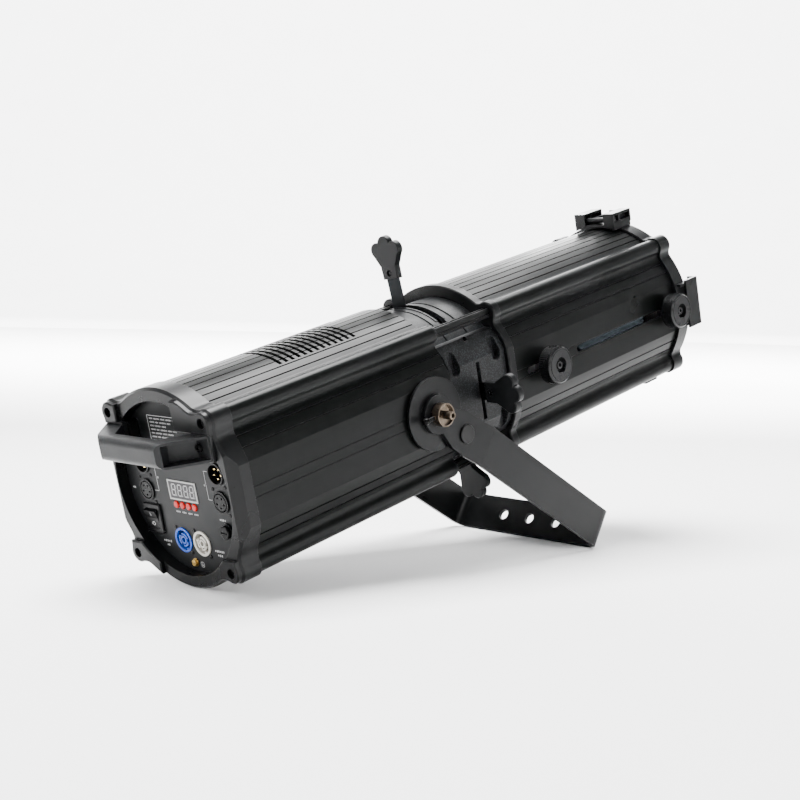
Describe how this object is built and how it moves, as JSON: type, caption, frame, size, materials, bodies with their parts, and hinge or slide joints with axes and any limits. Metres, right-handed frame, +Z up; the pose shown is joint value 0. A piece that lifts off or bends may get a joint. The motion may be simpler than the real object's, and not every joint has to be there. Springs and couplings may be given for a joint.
{
  "type": "ellipsoidal spotlight",
  "caption": "Long profile stage spotlight with finned housing, rear handle and panel, shutter gate, lens tube with clamp knobs and a bent strap yoke, resting nose-up.",
  "frame": {"origin": "floor point under the middle of the lamp's box; the lamp rests on its rear cap and the yoke's crossbar", "axes": "+X from the rear handle towards the lens end, +Y to the lamp's left, +Z up; the optical axis rises about 15 degrees towards +X"},
  "size_m": [0.7866, 0.292, 0.395],
  "materials": {
    "extrusion": "dark anodised, satin",
    "casting": "dark powder coat, fine texture",
    "gate_metal": "black tumbled, satin",
    "dark_screw": "blackened",
    "handle_plastic": "fine moulded grain",
    "panel": "satin paint",
    "connector_black": "semi-gloss",
    "contact_brass": "plated",
    "inlet_blue": "semi-gloss",
    "outlet_grey": "semi-gloss",
    "display_lens": "smoked grey",
    "display_frame": "semi-gloss",
    "ground_brass": "plated",
    "button_red": "semi-gloss",
    "bright_steel": "plated, worn",
    "board_green": "solder mask",
    "bare_aluminium": "plain",
    "fan_plastic": "moulded",
    "led_yellow": "coated",
    "optical_glass": "polished",
    "shutter_steel": "heat-darkened",
    "grip_plastic": "moulded",
    "knob_plastic": "moulded",
    "latch_metal": "dark powder coat",
    "yoke_paint": "dark powder coat"
  },
  "bodies": {
    "yoke": {"yoke": "yoke_paint", "arm_bolts": "dark_screw", "friction_discs": "casting"},
    "housing": {"rear_housing": "extrusion", "lens_tube": "extrusion", "tie_rods": "extrusion", "rear_cap": "casting", "front_flange": "casting", "front_ring": "casting", "frame_holders": "casting", "pivot_bosses": "casting", "gate_casting": "gate_metal", "gate_plate": "gate_metal", "section_screws": "dark_screw", "handle_screws": "dark_screw", "connector_screws": "dark_screw", "rear_handle": "handle_plastic", "rear_panel": "panel", "dmx_male_sockets": "connector_black", "dmx_female_sockets": "connector_black", "switch_frame": "connector_black", "fuse_holder": "connector_black", "display_module": "display_frame", "dmx_male_pins": "contact_brass", "power_inlet": "inlet_blue", "power_outlet": "outlet_grey", "display_window": "display_lens", "ground_screw": "ground_brass", "guide_rods": "bright_steel", "control_board": "board_green", "power_supply": "bare_aluminium", "heat_sink": "bare_aluminium", "condenser_holder": "bare_aluminium", "fan_frame": "fan_plastic", "led_module": "led_yellow", "condenser_lens": "optical_glass"},
    "fan_rotor": {"fan_rotor": "fan_plastic"},
    "focus_knob": {"focus_knob": "knob_plastic"},
    "frame_latch": {"frame_latch": "latch_metal"},
    "fuse_cap": {"fuse_cap": "connector_black"},
    "menu_button_1": {"menu_button_1": "button_red"},
    "menu_button_2": {"menu_button_2": "button_red"},
    "menu_button_3": {"menu_button_3": "button_red"},
    "menu_button_4": {"menu_button_4": "button_red"},
    "switch_rocker": {"switch_rocker": "connector_black"},
    "tilt_bolt_left": {"tilt_bolt_left": "bright_steel"},
    "tilt_bolt_right": {"tilt_bolt_right": "bright_steel"},
    "zoom_knob": {"zoom_knob": "knob_plastic"},
    "shutter_top": {"shutter_top": "shutter_steel", "shutter_grip_top": "grip_plastic"},
    "shutter_right": {"shutter_right": "shutter_steel", "shutter_grip_right": "grip_plastic"},
    "shutter_left": {"shutter_left": "shutter_steel", "shutter_grip_left": "grip_plastic"},
    "shutter_bottom": {"shutter_bottom": "shutter_steel", "shutter_grip_bottom": "grip_plastic"},
    "focus_carriage": {"focus_carrier": "bare_aluminium", "focus_lens": "optical_glass"},
    "zoom_carriage": {"zoom_carrier": "bare_aluminium", "zoom_lens": "optical_glass"}
  },
  "joints": [
    {"name": "tilt", "type": "hinge", "parent": "yoke", "child": "housing", "pos_m": [-0.08738, 0, 0.1636], "axis": [0, -1, 0], "range_deg": [-7, 137]},
    {"name": "clamp_bolt_left", "type": "hinge", "parent": "housing", "child": "tilt_bolt_left", "pos_m": [-0.08738, 0.103, 0.1636], "axis": [0, 1, 0], "range_deg": [0, 180]},
    {"name": "clamp_bolt_right", "type": "hinge", "parent": "housing", "child": "tilt_bolt_right", "pos_m": [-0.08738, -0.103, 0.1636], "axis": [0, -1, 0], "range_deg": [0, 180]},
    {"name": "button_1_press", "type": "slide", "parent": "housing", "child": "menu_button_1", "axis": [0.9657, 0, 0.2597], "range_m": [0, 0.001], "stiffness_N_per_m": 400, "springref_m": -0.0015},
    {"name": "button_2_press", "type": "slide", "parent": "housing", "child": "menu_button_2", "axis": [0.9657, 0, 0.2597], "range_m": [0, 0.001], "stiffness_N_per_m": 400, "springref_m": -0.0015},
    {"name": "button_3_press", "type": "slide", "parent": "housing", "child": "menu_button_3", "axis": [0.9657, 0, 0.2597], "range_m": [0, 0.001], "stiffness_N_per_m": 400, "springref_m": -0.0015},
    {"name": "button_4_press", "type": "slide", "parent": "housing", "child": "menu_button_4", "axis": [0.9657, 0, 0.2597], "range_m": [0, 0.001], "stiffness_N_per_m": 400, "springref_m": -0.0015},
    {"name": "mains_switch", "type": "hinge", "parent": "housing", "child": "switch_rocker", "pos_m": [-0.31906, 0.055, 0.06092], "axis": [0, 1, 0], "range_deg": [0, 22]},
    {"name": "fuse_cap_turn", "type": "hinge", "parent": "housing", "child": "fuse_cap", "pos_m": [-0.31932, -0.059, 0.06188], "axis": [-0.9657, 0, -0.2597], "range_deg": [0, 90]},
    {"name": "fan_spin", "type": "hinge", "parent": "housing", "child": "fan_rotor", "pos_m": [-0.19023, 0, 0.13595], "axis": [0.9657, 0, 0.2597], "continuous": true},
    {"name": "shutter_top_slide", "type": "slide", "parent": "housing", "child": "shutter_top", "axis": [-0.2587, 0.0872, 0.962], "range_m": [-0.031, 0.002]},
    {"name": "shutter_right_slide", "type": "slide", "parent": "housing", "child": "shutter_right", "axis": [0, -1, 0], "range_m": [-0.0085, 0.0235]},
    {"name": "shutter_left_slide", "type": "slide", "parent": "housing", "child": "shutter_left", "axis": [0, 1, 0], "range_m": [-0.0085, 0.0235]},
    {"name": "shutter_bottom_slide", "type": "slide", "parent": "housing", "child": "shutter_bottom", "axis": [0.2293, -0.4695, -0.8527], "range_m": [-0.002, 0.031]},
    {"name": "focus_travel", "type": "slide", "parent": "housing", "child": "focus_carriage", "axis": [0.9657, 0, 0.2597], "range_m": [-0.024, 0.014]},
    {"name": "zoom_travel", "type": "slide", "parent": "housing", "child": "zoom_carriage", "axis": [0.9657, 0, 0.2597], "range_m": [-0.165, 0]},
    {"name": "focus_clamp", "type": "hinge", "parent": "focus_carriage", "child": "focus_knob", "pos_m": [0.08838, -0.1, 0.21086], "axis": [0, -1, 0], "range_deg": [0, 180]},
    {"name": "zoom_clamp", "type": "hinge", "parent": "zoom_carriage", "child": "zoom_knob", "pos_m": [0.3129, -0.1, 0.27123], "axis": [0, -1, 0], "range_deg": [0, 180]},
    {"name": "latch_lift", "type": "hinge", "parent": "housing", "child": "frame_latch", "pos_m": [0.29584, 0, 0.379], "axis": [0, -1, 0], "range_deg": [0, 95]}
  ]
}
